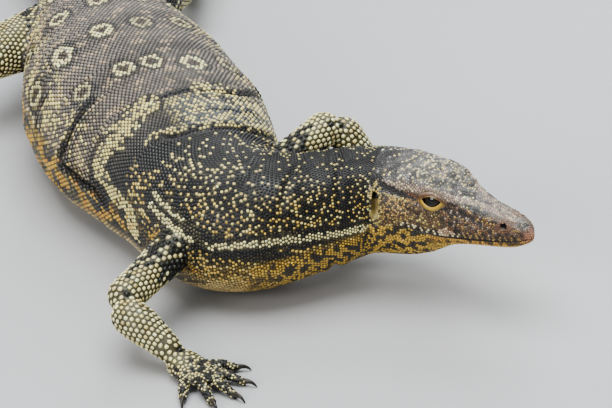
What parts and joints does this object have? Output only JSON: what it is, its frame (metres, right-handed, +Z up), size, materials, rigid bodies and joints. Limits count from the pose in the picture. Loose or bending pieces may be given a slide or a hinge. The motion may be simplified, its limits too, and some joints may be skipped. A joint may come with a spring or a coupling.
{
  "type": "water monitor lizard model",
  "caption": "Life-size still model of a water monitor lizard lying on its belly, head raised and turned to its left, elbows out and tail laid behind.",
  "frame": {"origin": "on the floor, under the middle of the whole animal's box", "axes": "+X along the trunk towards the head, which is also the longest extent; +Y to the animal's left; +Z up"},
  "size_m": [1.5773, 0.4625, 0.111],
  "materials": {
    "skin": "scaly hide, black-grey with pale yellow rings and flecks, satin",
    "eye": "dark brown, polished like a wet eye",
    "claw": "dark horn, smooth"
  },
  "bodies": {
    "root": {"head": "skin", "lower_jaw": "skin", "eye_left": "eye", "eye_right": "eye", "neck": "skin", "chest": "skin", "abdomen": "skin", "pelvis": "skin", "tail_1": "skin", "tail_2": "skin", "tail_3": "skin", "tail_4": "skin", "tail_5": "skin", "upper_arm_left": "skin", "forearm_left": "skin", "hand_left": "skin", "upper_arm_right": "skin", "forearm_right": "skin", "hand_right": "skin", "thigh_left": "skin", "shin_left": "skin", "foot_left": "skin", "thigh_right": "skin", "shin_right": "skin", "foot_right": "skin", "claw_hand_left_1": "claw", "claw_hand_left_2": "claw", "claw_hand_left_3": "claw", "claw_hand_left_4": "claw", "claw_hand_left_5": "claw", "claw_hand_right_1": "claw", "claw_hand_right_2": "claw", "claw_hand_right_3": "claw", "claw_hand_right_4": "claw", "claw_hand_right_5": "claw", "claw_foot_left_1": "claw", "claw_foot_left_2": "claw", "claw_foot_left_3": "claw", "claw_foot_left_4": "claw", "claw_foot_left_5": "claw", "claw_foot_right_1": "claw", "claw_foot_right_2": "claw", "claw_foot_right_3": "claw", "claw_foot_right_4": "claw", "claw_foot_right_5": "claw"}
  },
  "joints": []
}
